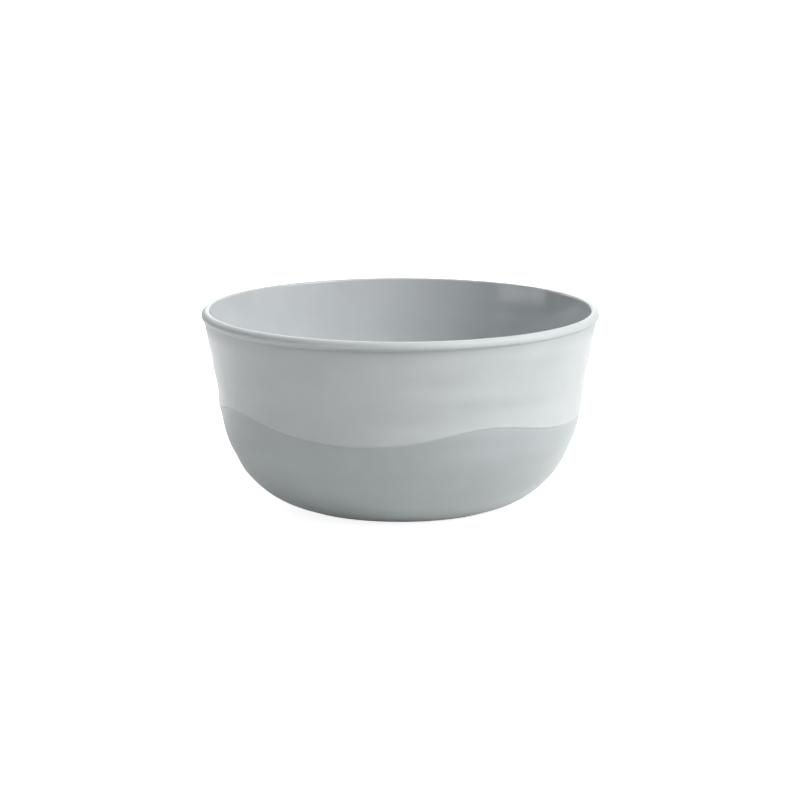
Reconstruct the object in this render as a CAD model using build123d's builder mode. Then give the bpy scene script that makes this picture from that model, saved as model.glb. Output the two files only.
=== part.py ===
from build123d import *
import os
from math import cos, radians, sin

# A round serving bowl of glazed stoneware, with a rolled lip and a two-tone outside.
#
# One fired clay body carries four glaze coats.  The pale outside coat was poured over the
# darker one, so its lower edge is a wavy ledge that stands slightly proud.  Sizes are in
# millimetres, +Z is up, and the origin is the middle of the circle that the bowl stands on.
# The front is the -Y side.

# ---- driving dimensions -------------------------------------------------------------
rim_radius = 72.5  # outermost point of the rolled lip
bowl_height = 71.0  # crest of the lip above the table

lower_coat = 0.35  # thickness of the darker outside glaze
upper_coat = 0.50  # thickness of the pale glaze, which also runs over the lip
inside_coat = 0.50  # thickness of the inside glaze
base_coat = 0.35  # thickness of the glaze patch inside the foot ring

# Outside wall, glazed surface of the darker coat: a rounded belly in two arcs, a soft
# hollow just above it, then a straight flare up to the neck under the lip.
wall_start = (40.0, 0.5)  # where the glaze stops above the foot
wall_start_slope = 15.6  # degrees above horizontal
belly_radius = 32.0
belly_turn = 41.8
shoulder_radius = 51.5
shoulder_turn = 28.4
hollow_radius = 72.0
hollow_turn = 6.5
flare_length = 21.75

# Rolled lip, surface of the pale glaze, from the neck upwards.
neck_radius = 0.5
neck_turn = 53.0
lip_top_radius = 2.0
lip_inner_radius = 1.0
pale_over_crest = 45.0  # degrees that the pale coat runs on over the lip's inner edge

# Inside, glazed surface.
inside_lean = 12.7  # degrees that the inside wall leans from the vertical
inside_floor_height = 5.6
inside_corner_radius = 31.0

# Foot ring, bare clay.
foot_outer_radius = 39.2
foot_inner_radius = 36.0
foot_edge_round = 0.4
foot_step_drop = 0.1  # the foot's side ends this far below the start of the glazed wall
foot_step_round = 0.3
recess_height = 2.2
recess_wall_radius = 35.0  # inner side of the foot ring where it meets the recess
recess_round = 1.2
base_patch_radius = 33.4
base_patch_round = 0.2

# Wavy border between the two outside coats: four swells round the bowl, each with a
# broad trough and a narrower crest, and slightly higher at two opposite sides.
wave_mean_height = 35.2
wave_swell = (4, 2.74, 28.6)  # waves in one turn, height, azimuth of a crest
wave_sharpening = (8, 0.37, -16.4)
wave_drift = (2, 0.56, 98.0)
wave_points = 48
wave_inner_radius = 30.0
wave_outer_radius = 76.0
wave_tool_depth = 45.0

crest_radius = rim_radius - lip_top_radius


def outside_wall(skin):
    """Outside wall from the foot to the neck, moved out from the darker glaze by skin."""
    slope = radians(wall_start_slope)
    start = (wall_start[0] + skin * sin(slope), wall_start[1] - skin * cos(slope))
    heading = (cos(slope), sin(slope))
    belly = JernArc(start, heading, belly_radius + skin, belly_turn)
    shoulder = JernArc(belly @ 1, belly % 1, shoulder_radius + skin, shoulder_turn)
    hollow = JernArc(shoulder @ 1, shoulder % 1, hollow_radius - skin, -hollow_turn)
    flare = PolarLine(hollow @ 1, flare_length, direction=hollow % 1)
    return start, flare @ 1, flare % 1


def lip(skin, start, heading):
    """Neck, bead and top of the lip, and over its crest; skin is 0 at the glazed surface."""
    neck = JernArc(start, heading, neck_radius - skin, -neck_turn)
    bead_slope = wall_end_slope - neck_turn
    bead_radius = (rim_radius + skin - (neck @ 1).X) / (1 - sin(radians(bead_slope)))
    bead = JernArc(neck @ 1, neck % 1, bead_radius, 90 - bead_slope)
    side_top = (rim_radius + skin, bowl_height - lip_top_radius)
    Line(bead @ 1, side_top)
    top = JernArc(side_top, (0, 1), lip_top_radius + skin, 90)
    over = JernArc(top @ 1, top % 1, lip_inner_radius + skin, pale_over_crest)
    return over @ 1


def inside_wall(skin):
    """Rest of the lip's inner edge, then the inside wall and the floor to the axis."""
    over = radians(pale_over_crest)
    edge_radius = lip_inner_radius + skin
    edge_height = bowl_height - lip_inner_radius + edge_radius * cos(over)
    start = (crest_radius - edge_radius * sin(over), edge_height)
    heading = (-cos(over), -sin(over))
    edge = JernArc(start, heading, edge_radius, 90 - inside_lean - pale_over_crest)
    corner_drop = (inside_corner_radius - skin) * (1 - sin(radians(inside_lean)))
    floor_height = inside_floor_height + skin
    wall_drop = (edge @ 1).Y - floor_height - corner_drop
    wall = PolarLine(edge @ 1, wall_drop / cos(radians(inside_lean)), direction=edge % 1)
    corner = JernArc(wall @ 1, wall % 1, inside_corner_radius - skin, inside_lean - 90)
    Line(corner @ 1, (0, floor_height))
    return start, (0, floor_height)


def wave_ring(radius):
    """Closed curve at this radius that rises and falls with the wavy glaze border."""
    points = []
    for step in range(wave_points):
        azimuth = 360 * step / wave_points  # from the front, towards +X
        height = wave_mean_height
        for swells, swing, crest_azimuth in (wave_swell, wave_sharpening, wave_drift):
            height += swing * cos(radians(swells * (azimuth - crest_azimuth)))
        across = sin(radians(azimuth))
        points.append((radius * across, -radius * cos(radians(azimuth)), height))
    return Spline(points, periodic=True)


wall_end_slope = wall_start_slope + belly_turn + shoulder_turn - hollow_turn
proud = upper_coat - lower_coat  # how far the pale coat stands out past the darker one

os.makedirs("parts", exist_ok=True)

# ---- stoneware body: thrown wall, rolled lip and bare foot ring ----------------------
with BuildPart() as stoneware_body:
    with BuildSketch(Plane.XZ):
        with BuildLine():
            clay_start, clay_neck, clay_heading = outside_wall(-lower_coat)
            lip(-upper_coat, clay_neck, clay_heading)
            _, clay_floor = inside_wall(-inside_coat)
            Line(clay_floor, (0, recess_height))
            FilletPolyline(
                (0, recess_height),
                (recess_wall_radius, recess_height),
                (foot_inner_radius, 0),
                (foot_outer_radius, 0),
                (foot_outer_radius, clay_start[1] - foot_step_drop),
                clay_start,
                radius=[recess_round, foot_edge_round, foot_edge_round, foot_step_round],
            )
        make_face()
    revolve(axis=Axis.Z)
stoneware_body.part.label = "stoneware_body"
export_step(stoneware_body.part, "parts/stoneware_body.step")

# ---- everything under the wavy border, as a cutting block -----------------------------
wave_surface = Face.make_surface_from_curves(
    wave_ring(wave_inner_radius), wave_ring(wave_outer_radius)
)
with BuildPart() as under_wave:
    extrude(wave_surface, amount=wave_tool_depth, dir=(0, 0, -1))

# ---- lower glaze: the darker coat, from just above the foot up to the wave ------------
with BuildPart() as lower_glaze:
    with BuildSketch(Plane.XZ):
        with BuildLine():
            clay_start, clay_neck, _ = outside_wall(-lower_coat)
            glaze_start, glaze_neck, _ = outside_wall(0)
            Line(clay_start, glaze_start)
            Line(clay_neck, glaze_neck)
        make_face()
    revolve(axis=Axis.Z)
    add(under_wave.part, mode=Mode.INTERSECT)
lower_glaze.part.label = "lower_glaze"
export_step(lower_glaze.part, "parts/lower_glaze.step")

# ---- upper glaze: the pale coat, from the wave up and over the rolled lip --------------
with BuildPart() as upper_glaze:
    with BuildSketch(Plane.XZ):
        with BuildLine():
            clay_start, clay_neck, clay_heading = outside_wall(-lower_coat)
            clay_edge = lip(-upper_coat, clay_neck, clay_heading)
            glaze_start, glaze_neck, glaze_heading = outside_wall(proud)
            glaze_edge = lip(0, glaze_neck, glaze_heading)
            Line(clay_start, glaze_start)
            Line(clay_edge, glaze_edge)
        make_face()
    revolve(axis=Axis.Z)
    add(under_wave.part, mode=Mode.SUBTRACT)
upper_glaze.part.label = "upper_glaze"
export_step(upper_glaze.part, "parts/upper_glaze.step")

# ---- inside glaze: from the lip's inner edge down over the whole floor ----------------
with BuildPart() as inside_glaze:
    with BuildSketch(Plane.XZ):
        with BuildLine():
            clay_edge, clay_floor = inside_wall(-inside_coat)
            glaze_edge, glaze_floor = inside_wall(0)
            Line(clay_edge, glaze_edge)
            Line(clay_floor, glaze_floor)
        make_face()
    revolve(axis=Axis.Z)
inside_glaze.part.label = "inside_glaze"
export_step(inside_glaze.part, "parts/inside_glaze.step")

# ---- base glaze: the round patch in the recess, inside the bare foot ring -------------
with BuildPart() as base_glaze:
    with BuildSketch(Plane.XY.offset(recess_height)):
        Circle(base_patch_radius)
    extrude(amount=-base_coat)
    fillet(base_glaze.edges().group_by(Axis.Z)[0], base_patch_round)
base_glaze.part.label = "base_glaze"
export_step(base_glaze.part, "parts/base_glaze.step")
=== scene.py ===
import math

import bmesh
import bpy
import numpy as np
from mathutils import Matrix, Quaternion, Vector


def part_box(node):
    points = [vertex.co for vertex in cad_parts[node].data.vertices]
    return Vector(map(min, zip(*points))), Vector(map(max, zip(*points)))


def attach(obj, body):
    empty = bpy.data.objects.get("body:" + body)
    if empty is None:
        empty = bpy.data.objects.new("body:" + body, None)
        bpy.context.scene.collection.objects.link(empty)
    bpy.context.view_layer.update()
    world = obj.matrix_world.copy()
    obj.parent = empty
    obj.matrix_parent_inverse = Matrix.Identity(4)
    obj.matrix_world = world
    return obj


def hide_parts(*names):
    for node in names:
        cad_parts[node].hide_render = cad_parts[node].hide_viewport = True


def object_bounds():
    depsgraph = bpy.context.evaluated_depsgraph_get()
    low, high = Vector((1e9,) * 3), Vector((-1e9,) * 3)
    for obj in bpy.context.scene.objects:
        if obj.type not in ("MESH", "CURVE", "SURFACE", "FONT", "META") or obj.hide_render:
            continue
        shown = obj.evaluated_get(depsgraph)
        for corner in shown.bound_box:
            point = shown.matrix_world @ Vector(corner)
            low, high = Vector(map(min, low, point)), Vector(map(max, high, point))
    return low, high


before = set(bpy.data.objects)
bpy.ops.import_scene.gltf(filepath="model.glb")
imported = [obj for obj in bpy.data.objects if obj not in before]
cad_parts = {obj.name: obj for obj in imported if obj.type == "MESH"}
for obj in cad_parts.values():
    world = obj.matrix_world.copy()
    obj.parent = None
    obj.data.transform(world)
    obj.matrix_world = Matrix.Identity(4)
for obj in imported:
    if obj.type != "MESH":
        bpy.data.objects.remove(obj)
cad_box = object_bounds()

# Looks of a glazed stoneware serving bowl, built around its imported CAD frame.
#
# Lengths are in millimetres unless a comment says metres, and are turned into metres where a
# mesh is made.  Each glaze coat is its own closed mesh, turned about the bowl's axis from the
# same arcs as the CAD wall.  Azimuth is in degrees from the front (-Y) towards +X.  A wall is
# followed in three stretches, and a length along each starts at 0: the outside from the foot
# up, the lip from the neck over its crest, and the inside from the lip down to the axis.

MM = 0.001
BODY = "root"

# ---- how finely the meshes are cut ----------------------------------------------------
AROUND = 480  # vertices round the bowl
AZIMUTHS = np.arange(AROUND) * 360.0 / AROUND
LIP_STEP = 0.12  # between rings on the lip
EDGE_STEP = 0.06  # between rings on the lip's inner edge
INSIDE_STEP = 0.9  # between rings on the inside wall and floor
TRACE_STEP = 0.1  # between the points that the outside wall is worked out from
HIDDEN_LIP_STRIDE = 4  # on the clay side, one ring stands for this many
HIDDEN_INSIDE_STRIDE = 6

# ---- the bowl's driving dimensions, as in the CAD part ---------------------------------
BOWL_TOP = cad_box[1].z / MM
RIM_RADIUS = cad_box[1].x / MM
WALL_START = (40.0, 0.5)  # radius and height
WALL_START_SLOPE = 15.6
OUTSIDE_RUNS = (  # a turn has a radius and degrees, a straight has a length
    ("turn", 32.0, 41.8, TRACE_STEP),
    ("turn", 51.5, 28.4, TRACE_STEP),
    ("turn", 72.0, -6.5, TRACE_STEP),
    ("straight", 21.75, TRACE_STEP),
)
WALL_END_SLOPE = WALL_START_SLOPE + sum(run[2] for run in OUTSIDE_RUNS if run[0] == "turn")
LOWER_COAT = 0.35
UPPER_COAT = 0.50
INSIDE_COAT = 0.50
PROUD = UPPER_COAT - LOWER_COAT  # the pale coat stands out this far past the darker one
NECK_RADIUS = 0.5
NECK_TURN = 53.0
LIP_TOP_RADIUS = 2.0
LIP_INNER_RADIUS = 1.0
PALE_OVER_CREST = 45.0  # degrees that the pale coat runs on over the lip's inner edge
INSIDE_LEAN = 12.7  # degrees that the inside wall leans from the vertical
INSIDE_FLOOR = 5.6
INSIDE_CORNER_RADIUS = 31.0
RECESS_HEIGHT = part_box("base_glaze")[1].z / MM
PATCH_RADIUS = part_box("base_glaze")[1].x / MM
BASE_COAT = RECESS_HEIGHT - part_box("base_glaze")[0].z / MM

# ---- the wavy border between the outside coats -----------------------------------------
# Waves round the bowl are rows of: waves in one turn, height, azimuth of a crest.
WAVE_MEAN = 35.2
BORDER_WAVES = ((4, 2.74, 28.6), (8, 0.37, -16.4), (2, 0.56, 98.0))
POURED_DIPS = ((-33, 15, 0.22), (5, 8, -0.25), (43, 12, -0.45))  # azimuth, width, height

# ---- soft unevenness of the thrown wall ------------------------------------------------
RIDGE_HEIGHT = 0.11  # finger ridges on the outside wall
RIDGE_PITCH = 12.5
RIDGE_STARTS = 3  # ridges that climb side by side in one turn
RIDGE_PHASE = 55.0  # height of one ridge's lower flank at the front, before it wanders
RIDGE_WANDER = ((3, 1.6, 8),)
RIDGE_STRENGTH = ((2, 0.35, 30), (5, 0.25, 0))  # added to a strength of 1
CROSS_HEIGHT = 0.035  # a fainter, closer set that crosses them
CROSS_PITCH = 7.3
CROSS_STARTS = 4
CROSS_PHASE = 70.0
RIDGES_FADE_IN = (4.0, 14.0)  # heights
RIDGES_FADE_OUT = (62.0, 66.5)
INSIDE_RIDGE_HEIGHT = 0.02
INSIDE_RIDGE_PITCH = 9.0
INSIDE_RIDGES_BELOW_LIP = (6.0, 14.0)  # they fade in between these lengths from the lip
INSIDE_RIDGES_OFF_AXIS = (3.0, 12.0)  # and out again between these radii, near the axis
INSIDE_SWELL = 0.2  # the inside wall is this much fuller where it starts to flare to the lip
INSIDE_SWELL_START = 20.0  # heights
INSIDE_FLARE_START = 62.0
NECK_SWING = 0.4  # the neck under the lip rises towards +X and sinks towards -X by this

# ---- how the glaze ran, and where light and shade are painted --------------------------
TUCK = 0.06  # how deep a coat's edge tucks under its neighbour
LOWER_TUCK_LENGTH = 0.15
INSIDE_TUCK_LENGTH = 0.08
LEDGE_WIDTH = 0.75  # rounding of the pale coat's lower edge
LEDGE_ROLL = 0.09  # extra thickness where the poured edge gathered
LEDGE_ROLL_WIDTH = 1.1
FOOT_EDGE_WIDTH = 0.45  # rounding of the darker coat's edge above the foot
FOOT_THIN_WIDTH = 0.9  # its glaze runs thinly up to this far from the edge
FOOT_POOL_AND_SHADE_MIDDLE = 1.6  # it pools a little further up, with painted contact shade there too
FOOT_POOL_AND_SHADE_WIDTH = 1.1
FOOT_POOL_AND_SHADE_STRENGTH = 0.7
LIT_EDGE_VEIL_STRENGTH = 0.35  # the darker coat lightens towards the pale one under the wave on the +X side: partly pale glaze bled into it, partly painted light on the lit edge
LIT_EDGE_VEIL_WIDTH = 0.6
LIT_EDGE_VEIL_SIDE = (0.0, 0.7)  # sines of the azimuth where that lightening starts and is full
NECK_SHADE_AZIMUTH = -10.0  # painted shade in the neck under the lip, strongest here and opposite
NECK_SHADE_FADES = ((0.8, 0.8), (0.2, 4.0))  # share, and the length down the wall that it fades in
NECK_SHADE_END = (0.9, 1.9)  # lengths along the lip where the painted neck shade starts to fade and ends
CREST_BREAK = 0.22  # how far the pale coat breaks towards its lighter colour on the crest
CREST_BREAK_WIDTH = 0.7
CREST_DEPTH = 1.0  # only this much of the lip's top counts as its crest
BEAD_LIGHT = 0.9  # painted light on the side of the bead towards -X, as a share of the lighter colour
BEAD_LIGHT_WIDTH = 0.65
BEAD_MIDDLE = BOWL_TOP - 2.45
BEAD_LIT_SIDE = (-0.05, 0.4)  # sines of the azimuth, measured towards -X, where the painted bead light starts and is full
LIP_SATIN = (BOWL_TOP - 9.0, BOWL_TOP - 4.0)  # heights where the lip's rougher glaze sets in
FAR_PAST_BORDER = 99.0  # any length well beyond the pale coat's sheer edge
PATCH_ROUND = 0.28  # rounding of the base patch's rim
PATCH_DIP = 0.03  # the patch is this much thinner in the middle
PATCH_DIP_FADE = (26.0, 32.0)


# ======================================================================================
# Profiles
# ======================================================================================
def smooth(low, high, value):
    """0 below low, 1 above high, with a soft step between."""
    part = np.clip((value - low) / (high - low), 0, 1)
    return part * part * (3 - 2 * part)


def waves(azimuth, rows):
    """Sum of waves round the bowl."""
    return sum(height * np.cos(np.radians(count * (azimuth - crest))) for count, height, crest in rows)


def trace(start, slope, runs):
    """Points along tangent arcs and straights, and the length up to each.

    Each run is ("straight", length, step) or ("turn", radius, degrees, step), and each point
    is a radius, a height, and the outward normal's parts across and up."""
    heading = math.radians(slope)
    points = [np.array(start, float)]
    normals = [np.array((math.sin(heading), -math.cos(heading)))]
    for kind, size, *rest in runs:
        here, step = points[-1], rest[-1]
        if kind == "straight":
            along = np.array((math.cos(heading), math.sin(heading)))
            for part in np.linspace(0, size, max(1, round(size / step)) + 1)[1:]:
                points.append(here + along * part)
                normals.append(normals[-1])
            continue
        turn = math.radians(rest[0])
        side = math.copysign(1.0, turn)
        centre = here + side * size * np.array((-math.sin(heading), math.cos(heading)))
        for part in np.linspace(0, turn, max(2, round(abs(turn) * size / step)) + 1)[1:]:
            normal = np.array((math.sin(heading + part), -math.cos(heading + part)))
            points.append(centre + side * size * normal)
            normals.append(normal)
        heading += turn
    lengths = np.concatenate(([0.0], np.cumsum(np.hypot(*np.diff(points, axis=0).T))))
    return np.hstack((points, normals)), lengths


def lip_runs(start):
    """Neck, bead, side and top of the lip, and over its crest, at the glazed surface."""
    slope = math.radians(WALL_END_SLOPE)
    bead_slope = math.radians(WALL_END_SLOPE - NECK_TURN)
    neck_reach = NECK_RADIUS * (math.sin(slope) - math.sin(bead_slope))
    neck_rise = NECK_RADIUS * (math.cos(bead_slope) - math.cos(slope))
    bead_radius = (RIM_RADIUS - start[0] - neck_reach) / (1 - math.sin(bead_slope))
    bead_rise = bead_radius * math.cos(bead_slope)
    side = BOWL_TOP - LIP_TOP_RADIUS - start[1] - neck_rise - bead_rise
    return [
        ("turn", NECK_RADIUS, -NECK_TURN, LIP_STEP),
        ("turn", bead_radius, 90 - WALL_END_SLOPE + NECK_TURN, LIP_STEP),
        ("straight", side, LIP_STEP),
        ("turn", LIP_TOP_RADIUS, 90, LIP_STEP),
        ("turn", LIP_INNER_RADIUS, PALE_OVER_CREST, EDGE_STEP),
    ]


def inside_runs(start):
    """Rest of the lip's inner edge, inside wall, corner and floor to near the axis."""
    lean = math.radians(INSIDE_LEAN)
    over = math.radians(PALE_OVER_CREST)
    edge_drop = LIP_INNER_RADIUS * (math.cos(over) - math.sin(lean))
    corner_drop = INSIDE_CORNER_RADIUS * (1 - math.sin(lean))
    wall = (start[1] - edge_drop - INSIDE_FLOOR - corner_drop) / math.cos(lean)
    edge_reach = LIP_INNER_RADIUS * (math.cos(lean) - math.sin(over))
    corner_reach = INSIDE_CORNER_RADIUS * math.cos(lean)
    floor = start[0] - edge_reach - wall * math.sin(lean) - corner_reach
    return [
        ("turn", LIP_INNER_RADIUS, 90 - INSIDE_LEAN - PALE_OVER_CREST, EDGE_STEP),
        ("straight", wall, INSIDE_STEP),
        ("turn", INSIDE_CORNER_RADIUS, INSIDE_LEAN - 90, INSIDE_STEP),
        ("straight", floor - INSIDE_STEP, INSIDE_STEP),
    ]


WALL, WALL_LENGTH = trace(WALL_START, WALL_START_SLOPE, OUTSIDE_RUNS)
LIP_START = WALL[-1, :2] + PROUD * WALL[-1, 2:]
LIP, LIP_LENGTH = trace(LIP_START, WALL_END_SLOPE, lip_runs(LIP_START))
INSIDE_START = LIP[-1, :2]
INSIDE, INSIDE_LENGTH = trace(INSIDE_START, 180 + PALE_OVER_CREST, inside_runs(INSIDE_START))


def on_wall(length):
    """The point of the darker coat's surface at a length along the outside wall."""
    return [np.interp(length, WALL_LENGTH, column) for column in WALL.T]


def border_height(azimuth):
    """Height of the border between the two outside coats, with the small dips of a pour."""
    height = WAVE_MEAN + waves(azimuth, BORDER_WAVES)
    for middle, width, rise in POURED_DIPS:
        away = (azimuth - middle + 180) % 360 - 180
        height = height + rise * np.exp(-((away / width) ** 2))
    return height


def finger_ridges(height):
    """Soft ridges that climb round the wall, fading out at the foot and under the lip."""
    climb = RIDGE_STARTS * RIDGE_PITCH * AZIMUTHS / 360
    wander = waves(AZIMUTHS, RIDGE_WANDER)
    phase = 2 * math.pi * (height - RIDGE_PHASE - climb - wander) / RIDGE_PITCH
    ridge = RIDGE_HEIGHT * (1 + waves(AZIMUTHS, RIDGE_STRENGTH)) * np.sin(phase)
    cross_phase = 2 * math.pi * height / CROSS_PITCH + np.radians(CROSS_STARTS * AZIMUTHS + CROSS_PHASE)
    cross = CROSS_HEIGHT * np.sin(cross_phase)
    return smooth(*RIDGES_FADE_IN, height) * (1 - smooth(*RIDGES_FADE_OUT, height)) * (ridge + cross)


def neck_share(height):
    """1 at the neck under the lip, 0 from the lip's widest point up."""
    side_top = BOWL_TOP - LIP_TOP_RADIUS
    return float(np.clip((side_top - height) / (side_top - LIP_START[1]), 0, 1))


def crest_break(radius, height):
    """How thinly the glaze has run on the crest of the lip."""
    if height < BOWL_TOP - CREST_DEPTH:
        return 0.0
    past_crest = radius - RIM_RADIUS + LIP_TOP_RADIUS
    return CREST_BREAK * math.exp(-((past_crest / CREST_BREAK_WIDTH) ** 2))


def bead_painted_light(height):
    """How much painted light lightens the side of the bead."""
    return BEAD_LIGHT * math.exp(-(((height - BEAD_MIDDLE) / BEAD_LIGHT_WIDTH) ** 2))


SIDEWAYS = np.sin(np.radians(AZIMUTHS))  # 1 at +X, -1 at -X
BORDER_LENGTH = np.interp(border_height(AZIMUTHS), WALL[:, 1], WALL_LENGTH)
NECK_SHIFT = NECK_SWING * SIDEWAYS


# ======================================================================================
# Meshes
# ======================================================================================
class Coat:
    """A coat of glaze as rings of vertices, with the marks on each ring that its glaze reads."""

    def __init__(self, *marks):
        self.rings = []
        self.marks = {mark: [] for mark in marks}

    def ring(self, radius, height, **marks):
        """Adds a ring round the axis; a mark that isn't given is 0."""
        turn = np.radians(AZIMUTHS)
        radius = np.broadcast_to(radius, turn.shape)
        height = np.broadcast_to(height, turn.shape)
        self.rings.append(np.stack((radius * np.sin(turn), -radius * np.cos(turn), height), axis=1) * MM)
        for mark, values in self.marks.items():
            values.append(np.broadcast_to(marks.get(mark, 0), turn.shape))

    def skin(self, point, out, **marks):
        """Adds a ring that stands out from a traced surface."""
        radius, height, across, up = point
        self.ring(radius + out * across, height + out * up, **marks)

    def close(self, name, capped):
        """A closed mesh.  Capped, it ends on the axis; otherwise its last ring joins its first."""
        count = len(self.rings)
        vertices = np.concatenate(self.rings)
        faces = []
        for ring in range(count - 1 if capped else count):
            here, there = ring * AROUND, (ring + 1) % count * AROUND
            for k in range(AROUND):
                beside = (k + 1) % AROUND
                faces.append((here + k, here + beside, there + beside, there + k))
        if capped:
            for ring, end in ((0, count * AROUND), (count - 1, count * AROUND + 1)):
                vertices = np.vstack((vertices, (0, 0, self.rings[ring][0, 2])))
                for k in range(AROUND):
                    faces.append((ring * AROUND + k, ring * AROUND + (k + 1) % AROUND, end))
        mesh = bpy.data.meshes.new(name)
        mesh.from_pydata(vertices.tolist(), [], faces)
        for mark, values in self.marks.items():
            flat = np.zeros(len(vertices), np.float32)
            flat[: count * AROUND] = np.concatenate(values)
            layer = mesh.attributes.new(mark, "FLOAT", "POINT")
            layer.data.foreach_set("value", flat)
        work = bmesh.new()
        work.from_mesh(mesh)
        bmesh.ops.recalc_face_normals(work, faces=work.faces)
        work.to_mesh(mesh)
        work.free()
        mesh.shade_smooth()
        piece = bpy.data.objects.new(name, mesh)
        bpy.context.scene.collection.objects.link(piece)
        return piece


def lower_coat():
    """Darker coat: from its rounded edge above the foot to just under the pale coat."""
    near_foot = (0, 0.04, 0.1, 0.18, 0.28, 0.4, 0.55, 0.8, 1.3)
    near_border = (-3.0, -2.2, -1.6, -1.2, -0.8, -0.5, -0.3, -0.15, 0.0, 0.15, 0.35)
    wall_rings = 64
    hidden_rings = 12
    wall_start = near_foot[-1]
    wall_end = BORDER_LENGTH + near_border[0]
    lengths = [np.full(AROUND, start) for start in near_foot]
    for part in np.linspace(0, 1, wall_rings + 1)[1:]:
        lengths.append(wall_start + (wall_end - wall_start) * part)
    lengths += [BORDER_LENGTH + past for past in near_border[1:]]
    # lightening under the wave on the lit +X side: partly bled glaze, partly painted light
    veil_side = LIT_EDGE_VEIL_STRENGTH * smooth(*LIT_EDGE_VEIL_SIDE, SIDEWAYS)
    coat = Coat("thin", "pooled", "veil")
    for length in lengths:
        point = on_wall(length)
        past_border = length - BORDER_LENGTH
        inset = 1 - np.clip(length / FOOT_EDGE_WIDTH, 0, 1)
        skin = LOWER_COAT * (np.sqrt(1 - inset * inset) - 1) + finger_ridges(point[1])
        skin -= TUCK * smooth(0, LOWER_TUCK_LENGTH, past_border)
        thin = 1 - smooth(0, FOOT_THIN_WIDTH, length)
        # glaze pool above the foot, deepened as painted contact shade near the floor
        pooled = FOOT_POOL_AND_SHADE_STRENGTH * np.exp(-((length - FOOT_POOL_AND_SHADE_MIDDLE) / FOOT_POOL_AND_SHADE_WIDTH) ** 2)
        # partly pale glaze bled under the wave, partly painted light along the lit +X edge
        veil = veil_side * np.exp(-np.clip(-past_border, 0, None) / LIT_EDGE_VEIL_WIDTH)
        coat.skin(point, skin, thin=thin, pooled=pooled, veil=veil)
    for part in np.linspace(1, 0, hidden_rings + 1)[:-1]:
        coat.skin(on_wall(lengths[-1] * part), -LOWER_COAT)
    return coat.close("lower_glaze_coat", capped=False)


def upper_coat():
    """Pale coat: from its rounded ledge at the wave up the wall and over the lip."""
    near_border = (0, 0.02, 0.06, 0.13, 0.22, 0.33, 0.46, 0.6, 0.78, 1.0, 1.3, 1.7, 2.2, 2.8, 3.5)
    wall_rings = 40
    hidden_rings = 7
    wall_start = BORDER_LENGTH + near_border[-1]
    wall_end = WALL_LENGTH[-1] + NECK_SHIFT / math.sin(math.radians(WALL_END_SLOPE))
    lengths = [BORDER_LENGTH + past for past in near_border]
    for part in np.linspace(0, 1, wall_rings + 1)[1:-1]:
        lengths.append(wall_start * (1 - part) + wall_end * part)
    # painted shade in the neck, strongest at the front and the back
    neck_shade_side = np.cos(np.radians(AZIMUTHS - NECK_SHADE_AZIMUTH)) ** 4
    # painted light on the side of the bead towards -X
    bead_lit_side = smooth(*BEAD_LIT_SIDE, -SIDEWAYS)
    coat = Coat("thin", "border", "lip", "neck")
    for length in lengths:
        point = on_wall(length)
        past_border = length - BORDER_LENGTH
        inset = 1 - np.clip(past_border / LEDGE_WIDTH, 0, 1)
        ledge = (PROUD + TUCK) * np.sqrt(1 - inset * inset) - TUCK
        roll = LEDGE_ROLL * np.exp(-((past_border - LEDGE_WIDTH) / LEDGE_ROLL_WIDTH) ** 2)
        skin = ledge + roll * smooth(0, LEDGE_WIDTH, past_border) + finger_ridges(point[1])
        # painted shade: the pale tone darkened in the neck under the lip, fading down the wall
        pooled = sum(share * np.exp((length - wall_end) / fade) for share, fade in NECK_SHADE_FADES)
        on_lip = smooth(*LIP_SATIN, point[1])
        coat.skin(point, skin, border=past_border, lip=on_lip, neck=neck_shade_side * pooled)
    for point, length in zip(LIP, LIP_LENGTH):
        radius, height = point[:2]
        shift = NECK_SHIFT * neck_share(height)
        flared = np.minimum(radius + shift / math.tan(math.radians(WALL_END_SLOPE)), RIM_RADIUS)
        # glaze that ran thinly over the crest, plus painted light on the side of the bead towards -X
        thin = crest_break(radius, height) + bead_lit_side * bead_painted_light(height)
        # painted shade in the neck, fading out up the bead
        neck = neck_shade_side * (1 - smooth(*NECK_SHADE_END, length))
        coat.ring(flared, height + shift, thin=thin, border=FAR_PAST_BORDER, lip=1, neck=neck)
    for point in LIP[::-HIDDEN_LIP_STRIDE]:
        coat.skin(point, -UPPER_COAT, border=FAR_PAST_BORDER)
    for part in np.linspace(0, 1, hidden_rings + 1)[1:]:
        coat.skin(on_wall(wall_end * (1 - part) + BORDER_LENGTH * part), -LOWER_COAT)
    return coat.close("upper_glaze_coat", capped=False)


def inside_coat():
    """Inside coat: over the floor and up the wall to the lip's inner edge."""
    edge_height = BOWL_TOP - LIP_INNER_RADIUS
    coat = Coat()
    for point, length in zip(INSIDE[::-1], INSIDE_LENGTH[::-1]):
        radius, height = point[:2]
        climb = 2 * math.pi * (length / INSIDE_RIDGE_PITCH - AZIMUTHS / 360)
        fade = smooth(*INSIDE_RIDGES_BELOW_LIP, length) * smooth(*INSIDE_RIDGES_OFF_AXIS, radius)
        above = np.clip((height - INSIDE_FLARE_START) / (edge_height - INSIDE_FLARE_START), 0, 1)
        swell = (1 - above * above) * smooth(INSIDE_SWELL_START, INSIDE_FLARE_START, height)
        skin = INSIDE_RIDGE_HEIGHT * np.sin(climb) * fade + INSIDE_SWELL * swell
        skin -= TUCK * (1 - smooth(0, INSIDE_TUCK_LENGTH, length))
        coat.skin(point, skin)
    for point in INSIDE[::HIDDEN_INSIDE_STRIDE]:
        coat.skin(point, -INSIDE_COAT)
    return coat.close("inside_glaze_coat", capped=True)


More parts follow.
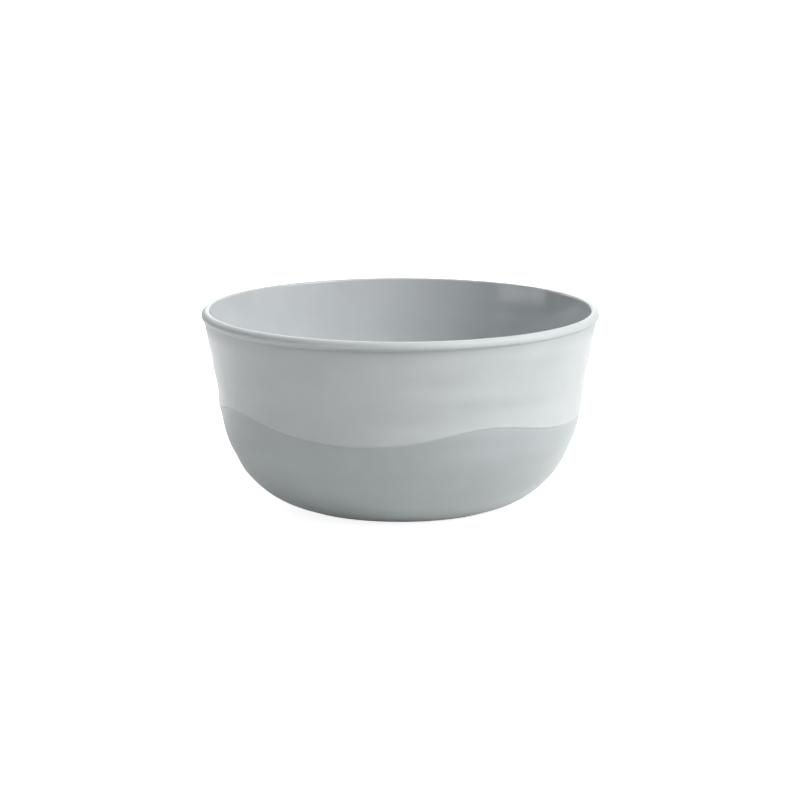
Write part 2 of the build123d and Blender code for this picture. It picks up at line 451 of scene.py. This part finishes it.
def base_patch():
    """Glaze patch in the recess of the foot, a little thicker at its rounded rim."""
    under = RECESS_HEIGHT - BASE_COAT
    under_radii = (0.6, 3, 8, 14, 20, 25, 28, 30, 31.2, 32.0, 32.6)
    rim_angles = (0, 15, 30, 45, 60, 75, 90)
    clay_side_radii = (PATCH_RADIUS, 24, 12, 0.6)
    coat = Coat("thin")
    for radius in under_radii:
        coat.ring(radius, under + PATCH_DIP * (1 - smooth(*PATCH_DIP_FADE, radius)))
    for angle in np.radians(rim_angles):
        radius = PATCH_RADIUS - PATCH_ROUND + PATCH_ROUND * math.sin(angle)
        coat.ring(radius, under + PATCH_ROUND * (1 - math.cos(angle)), thin=math.sin(angle))
    for radius in clay_side_radii:
        coat.ring(radius, RECESS_HEIGHT)
    return coat.close("base_glaze_patch", capped=True)


# ======================================================================================
# Materials
# ======================================================================================
PALE = (0.546, 0.588, 0.596, 1.0)
MID = (0.436, 0.478, 0.486, 1.0)
INSIDE_TONE = (0.519, 0.55, 0.568, 1.0)
PALE_THIN_AND_LIT = 1.18  # a coat's own colour times such a factor: lighter where glaze ran thinly and for painted light, darker where glaze pools and for painted shade
PALE_NECK_SHADE = 0.74
MID_THIN = 1.12
MID_POOLED_AND_SHADED = 0.8
SHEER_STRENGTH = 0.75  # how much of the darker coat shows through the pale coat's very edge
SHEER_WIDTH = 1.0
NOISE_BULK = (0.3, 0.7)  # most values of a noise lie between these
MOTTLE_SIZE = 16
MOTTLE_FACTORS = (0.975, 1.02)
SPECK_SIZE = 0.7
SPECK_NOISE = (0.70, 0.78)  # a speck appears where a noise rises through these values
SPECK_STRENGTH = 0.10
SPECK_FACTOR = 0.75
GLOSS_PATCH_SIZE = 5
GLOSS_SWING = 0.025
PEEL_SIZE = 1.3
PEEL_STRENGTH = 0.12
PEEL_DEPTH = 0.02
SWELL_SIZE = 9
SWELL_STRENGTH = 0.25
SWELL_DEPTH = 0.05
OUTSIDE_ROUGHNESS = 0.3
LIP_ROUGHNESS = 0.5
INSIDE_ROUGHNESS = 0.14
GLAZE_IOR = 1.5
CLAY = (0.52, 0.48, 0.42, 1.0)
CLAY_FACTORS = (0.9, 1.06)
CLAY_PATCH_SIZE = 7
GROG = (0.22, 0.17, 0.13, 1.0)
GROG_SIZE = 0.45
GROG_NOISE = (0.66, 0.72)  # as SPECK_NOISE
GROG_STRENGTH = 0.55
GRAIN_SIZE = 0.35
GRAIN_NOISE = (0.2, 0.8)
GRAIN_STRENGTH = 0.35
GRAIN_DEPTH = 0.06
CLAY_ROUGHNESS = (0.78, 0.92)  # in the hollows and on the tops of the grain
CLAY_IOR = 1.45
WHITE_ROUGHNESS = 0.9


class Shader:
    """A material whose nodes are added and linked in one expression."""

    def __init__(self, name, colour):
        self.material = bpy.data.materials.new(name)
        self.material.use_nodes = True
        self.tree = self.material.node_tree
        self.surface = self.tree.nodes["Principled BSDF"]
        self.put(self.surface, "Base Color", colour)
        self.colour = colour

    def add(self, kind, settings=(), **sockets):
        """A new node with these settings; an underscore in a socket's name stands for a space."""
        node = self.tree.nodes.new(kind)
        for key, value in dict(settings).items():
            setattr(node, key, value)
        for key, value in sockets.items():
            self.put(node, key.replace("_", " "), value)
        return node

    def put(self, node, socket, value):
        """Links a node's input to another node's output, or sets it to a plain value."""
        if isinstance(value, bpy.types.NodeSocket):
            self.tree.links.new(value, node.inputs[socket])
        else:
            node.inputs[socket].default_value = value

    def position(self):
        """Where a point is on the object, in metres."""
        return self.add("ShaderNodeTexCoord").outputs["Object"]

    def noise(self, size, detail, roughness=0.5):
        """Noise whose patches have this size in mm."""
        settings = {"Scale": 1 / (size * MM), "Detail": detail, "Roughness": roughness}
        return self.add("ShaderNodeTexNoise", Vector=self.position(), **settings).outputs["Fac"]

    def mark(self, name):
        """A mark that a coat's rings carry; 0 on a piece that doesn't have it."""
        return self.add("ShaderNodeAttribute", {"attribute_name": name}).outputs["Fac"]

    def ramp(self, value, low, high, out_low=0.0, out_high=1.0):
        """A soft step from out_low to out_high while the value goes from low to high."""
        limits = {"From_Min": low, "From_Max": high, "To_Min": out_low, "To_Max": out_high}
        settings = {"interpolation_type": "SMOOTHSTEP"}
        return self.add("ShaderNodeMapRange", settings, Value=value, **limits).outputs["Result"]

    def lay(self, share, colour):
        """Lays a colour over the base colour.  A Mix node's colours are inputs 6 and 7, output 2."""
        node = self.add("ShaderNodeMix", {"data_type": "RGBA"}, Factor=share)
        self.put(node, 6, self.colour)
        self.put(node, 7, colour)
        self.colour = node.outputs[2]
        self.put(self.surface, "Base Color", self.colour)

    def bump(self, height, strength, depth):
        """Lays a bump of this depth in mm over any bump that is already there."""
        node = self.add("ShaderNodeBump", Height=height, Strength=strength, Distance=depth * MM)
        for link in self.surface.inputs["Normal"].links:
            self.put(node, "Normal", link.from_socket)
        self.put(self.surface, "Normal", node.outputs["Normal"])


def shade(colour, factor):
    """A colour made lighter or darker by a factor."""
    return tuple(channel * factor for channel in colour[:3]) + (1.0,)


def glaze(name, colour, roughness):
    """Satin glaze: soft mottling, faint specks, uneven gloss and a fine orange peel."""
    shader = Shader(name, shade(colour, MOTTLE_FACTORS[0]))
    mottle = shader.ramp(shader.noise(MOTTLE_SIZE, detail=3), *NOISE_BULK)
    shader.lay(mottle, shade(colour, MOTTLE_FACTORS[1]))
    speck = shader.ramp(shader.noise(SPECK_SIZE, detail=1), *SPECK_NOISE, 0.0, SPECK_STRENGTH)
    shader.lay(speck, shade(colour, SPECK_FACTOR))
    gloss = shader.noise(GLOSS_PATCH_SIZE, detail=2)
    uneven = shader.ramp(gloss, *NOISE_BULK, roughness - GLOSS_SWING, roughness + GLOSS_SWING)
    shader.put(shader.surface, "Roughness", uneven)
    shader.bump(shader.noise(PEEL_SIZE, detail=2), PEEL_STRENGTH, PEEL_DEPTH)
    shader.bump(shader.noise(SWELL_SIZE, detail=1), SWELL_STRENGTH, SWELL_DEPTH)
    shader.put(shader.surface, "IOR", GLAZE_IOR)
    return shader


def mid_glaze():
    """Darker coat: paler where it ran thinly at the foot, darker above the foot where glaze pools and
    painted contact shade lies, and lightened towards the pale glaze near the wave on +X, partly glaze
    bled over it and partly painted light.
    """
    shader = glaze("mid_grey_glaze", MID, OUTSIDE_ROUGHNESS)
    shader.lay(shader.mark("thin"), shade(MID, MID_THIN))
    # darker above the foot: glaze pool plus painted contact shade
    shader.lay(shader.mark("pooled"), shade(MID, MID_POOLED_AND_SHADED))
    # lighter near the wave on +X: partly bled glaze, partly painted light
    shader.lay(shader.mark("veil"), PALE)
    return shader.material


def pale_glaze():
    """Pale coat: lighter where the glaze ran thinly over the crest and with painted light on the bead
    towards -X, sheer just above the wave so that the darker coat shows, darker with painted shade in the
    neck under the lip, and rougher on the lip."""
    shader = glaze("pale_grey_glaze", PALE, OUTSIDE_ROUGHNESS)
    # lighter where the glaze ran thinly on the crest, plus painted light on the bead's side towards -X
    shader.lay(shader.mark("thin"), shade(PALE, PALE_THIN_AND_LIT))
    sheer = shader.ramp(shader.mark("border"), 0.0, SHEER_WIDTH, SHEER_STRENGTH, 0.0)
    shader.lay(sheer, MID)
    # painted shade in the neck under the lip
    shader.lay(shader.mark("neck"), shade(PALE, PALE_NECK_SHADE))
    wall_roughness = shader.surface.inputs["Roughness"].links[0].from_socket
    rough = shader.ramp(shader.mark("lip"), 0.0, 1.0, wall_roughness, LIP_ROUGHNESS)
    shader.put(shader.surface, "Roughness", rough)
    return shader.material


def inside_glaze():
    """Inside coat: the plain glaze, glossier than outside."""
    return glaze("inside_grey_glaze", INSIDE_TONE, INSIDE_ROUGHNESS).material


def bare_stoneware():
    """Unglazed fired clay: matte, warm grey, with grog specks and a gritty surface."""
    shader = Shader("bare_stoneware", shade(CLAY, CLAY_FACTORS[0]))
    patch = shader.ramp(shader.noise(CLAY_PATCH_SIZE, detail=4, roughness=0.6), *NOISE_BULK)
    shader.lay(patch, shade(CLAY, CLAY_FACTORS[1]))
    grog = shader.ramp(shader.noise(GROG_SIZE, detail=1), *GROG_NOISE, 0.0, GROG_STRENGTH)
    shader.lay(grog, GROG)
    grain = shader.noise(GRAIN_SIZE, detail=3, roughness=0.7)
    shader.put(shader.surface, "Roughness", shader.ramp(grain, *GRAIN_NOISE, *CLAY_ROUGHNESS))
    shader.bump(grain, GRAIN_STRENGTH, GRAIN_DEPTH)
    shader.put(shader.surface, "IOR", CLAY_IOR)
    return shader.material


# ======================================================================================
# Stage, light and camera
# ======================================================================================
FLOOR_REACH = 8.0  # m
BACKDROP_RADIUS = 3.2  # m
BACKDROP_HEIGHT = 3.0  # m, above and below the floor
BACKDROP_GLOW = 1.0
SEEN_FLOOR_GLOW = 0.85
MIRRORED_FLOOR_GLOW = 0.17
MIRRORED_WINDOW_GLOW = 0.33  # added on the window's side, behind the bowl
WINDOW_GLOW_AXIS = (-2.0, 1.0, 0.0)
WINDOW_GLOW_START = 0.27  # m along that axis, times the axis's own length
WINDOW_GLOW_FULL = 0.5
SEEN_FLOOR_DROP = 0.05
MIRRORED_FLOOR_DROP = 0.1
BOUNCE_FLOOR_DROP = 3.0  # lets light in under the bowl
WORLD_GLOW = 0.01
WARM = (1.0, 0.976, 0.972)
WHITE = (1.0, 1.0, 1.0)
SOFTBOX_DISTANCE = 2.2  # m
SQUARE = (1.2, 1.2)  # m
WINDOW = (1.45, 0.4)  # m
SOFTBOXES = (  # name, azimuth, elevation, roll, size, watts, colour
    ("right", 70, 42, 0, SQUARE, 37.0, WARM),
    ("front_right", 45, 42, 0, SQUARE, 11.0, WHITE),
    ("front_right_high", 45, 66, 0, SQUARE, 11.0, WHITE),
    ("overhead", 0, 88, 0, SQUARE, 3.5, WHITE),
    ("back_right", 135, 26, 0, SQUARE, 5.5, WARM),
    ("back_low", 180, 18, 0, SQUARE, 11.5, WHITE),
    ("back_high", 180, 42, 0, SQUARE, 8.0, WHITE),
    ("back_left", 225, 26, 0, SQUARE, 11.5, WHITE),
    ("left_window", 274, 18, 7.5, WINDOW, 4.2, WHITE),
)
CAMERA_ELEVATION = 11.235
CAMERA_DISTANCE = 1123.3
CAMERA_AIM = (-0.1, 0, BOWL_TOP / 2 + 1.2)  # just above the bowl's middle
CAMERA_REACH = (0.05, 60)  # m, nearest and farthest
FOCAL_WIDTHS = 3.824  # focal length in frame widths
SENSOR_WIDTH = 36.0


def glowing_white(name, white, glow=0.0):
    """Matte white; glow lifts it towards overexposed white."""
    shader = Shader(name, (white, white, white, 1.0))
    shader.put(shader.surface, "Roughness", WHITE_ROUGHNESS)
    shader.put(shader.surface, "Specular IOR Level", 0.0)
    shader.put(shader.surface, "Emission Color", (1.0, 1.0, 1.0, 1.0))
    shader.put(shader.surface, "Emission Strength", glow)
    return shader


def lift_towards_window(shader):
    """Makes the mirrored floor glow more towards -X and +Y, as a window there would light it."""
    along = shader.add("ShaderNodeVectorMath", {"operation": "DOT_PRODUCT"})
    shader.put(along, 0, shader.position())
    shader.put(along, 1, WINDOW_GLOW_AXIS)
    full = MIRRORED_FLOOR_GLOW + MIRRORED_WINDOW_GLOW
    limits = (WINDOW_GLOW_START, WINDOW_GLOW_FULL, MIRRORED_FLOOR_GLOW, full)
    shader.put(shader.surface, "Emission Strength", shader.ramp(along.outputs["Value"], *limits))


def stage_sheet(name, vertices, faces, rays, shader):
    """A part of the stage that only these rays see."""
    mesh = bpy.data.meshes.new(name)
    mesh.from_pydata(vertices, [], faces)
    mesh.materials.append(shader.material)
    sheet = bpy.data.objects.new(name, mesh)
    bpy.context.scene.collection.objects.link(sheet)
    sheet.visible_camera = rays == "camera"
    sheet.visible_diffuse = rays == "diffuse"
    sheet.visible_glossy = rays == "glossy"
    sheet.visible_transmission = False
    sheet.visible_shadow = False


def floor_sheet(name, rays, drop, shader):
    """A flat floor, this far under the bowl, that only these rays see."""
    sides = ((-1, -1), (1, -1), (1, 1), (-1, 1))
    corners = [(x * FLOOR_REACH, y * FLOOR_REACH, -drop * MM) for x, y in sides]
    stage_sheet(name, corners, [(0, 1, 2, 3)], rays, shader)


def stage_floor():
    """The camera sees an overexposed floor; the bowl is lit by, and mirrors, dimmer ones."""
    seen = glowing_white("floor_seen", 0.9, SEEN_FLOOR_GLOW)
    floor_sheet("floor_seen", "camera", SEEN_FLOOR_DROP, seen)
    mirrored = glowing_white("floor_mirrored", 0.95)
    lift_towards_window(mirrored)
    floor_sheet("floor_mirrored", "glossy", MIRRORED_FLOOR_DROP, mirrored)
    floor_sheet("floor_bounce", "diffuse", BOUNCE_FLOOR_DROP, glowing_white("floor_bounce", 0.8))


def backdrop():
    """A white wall all round, seen by the camera alone."""
    sides = 48
    ring = []
    for side in range(sides):
        turn = 2 * math.pi * side / sides
        ring.append((BACKDROP_RADIUS * math.cos(turn), BACKDROP_RADIUS * math.sin(turn)))
    vertices = [(x, y, height) for height in (-BACKDROP_HEIGHT, BACKDROP_HEIGHT) for x, y in ring]
    faces = []
    for side in range(sides):
        beside = (side + 1) % sides
        faces.append((side, beside, beside + sides, side + sides))
    stage_sheet("backdrop", vertices, faces, "camera", glowing_white("backdrop", 0.9, BACKDROP_GLOW))


def softbox(name, azimuth, elevation, roll, size, watts, colour):
    """A rectangular area light aimed at the middle of the bowl, which the camera doesn't see."""
    middle = Vector((0, 0, BOWL_TOP / 2 * MM))
    turn, rise = math.radians(azimuth), math.radians(elevation)
    away = Vector((math.sin(turn) * math.cos(rise), -math.cos(turn) * math.cos(rise), math.sin(rise)))
    data = bpy.data.lights.new(name, "AREA")
    data.shape = "RECTANGLE"
    data.size, data.size_y = size
    data.energy = watts
    data.color = colour
    light = bpy.data.objects.new(name, data)
    light.visible_camera = False
    light.location = middle + away * SOFTBOX_DISTANCE
    light.rotation_mode = "QUATERNION"
    aim = away.to_track_quat("Z", "Y")
    light.rotation_quaternion = aim @ Quaternion((0, 0, 1), math.radians(roll))
    bpy.context.scene.collection.objects.link(light)


def studio_light():
    """Softboxes to the right, behind and overhead, a low window to the left, and a faint sky."""
    world = bpy.data.worlds.new("studio")
    world.use_nodes = True
    sky = world.node_tree.nodes["Background"]
    sky.inputs["Color"].default_value = (1.0, 1.0, 1.0, 1.0)
    sky.inputs["Strength"].default_value = WORLD_GLOW
    bpy.context.scene.world = world
    for box in SOFTBOXES:
        softbox(*box)


def photo_camera():
    """A long lens, eleven degrees above the table and nearly eight bowl widths away."""
    elevation = math.radians(CAMERA_ELEVATION)
    back = Vector((0, -math.cos(elevation), math.sin(elevation)))
    data = bpy.data.cameras.new("camera")
    data.sensor_width = SENSOR_WIDTH
    data.lens = SENSOR_WIDTH * FOCAL_WIDTHS
    data.clip_start, data.clip_end = CAMERA_REACH
    camera = bpy.data.objects.new("camera", data)
    camera.location = Vector(CAMERA_AIM) * MM + back * (CAMERA_DISTANCE * MM)
    camera.rotation_mode = "QUATERNION"
    camera.rotation_quaternion = back.to_track_quat("Z", "Y")
    bpy.context.scene.collection.objects.link(camera)
    bpy.context.scene.camera = camera


def place(piece, node, material):
    """Lets a glaze mesh stand for its CAD node, with this material."""
    piece.data.materials.append(material)
    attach(piece, BODY)
    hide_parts(node)


photo_camera()
studio_light()
stage_floor()
backdrop()

mid = mid_glaze()
place(lower_coat(), "lower_glaze", mid)
place(base_patch(), "base_glaze", mid)
place(upper_coat(), "upper_glaze", pale_glaze())
place(inside_coat(), "inside_glaze", inside_glaze())
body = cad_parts["stoneware_body"]
body.material_slots[0].material = bare_stoneware()

bpy.context.scene.view_settings.view_transform = "Standard"
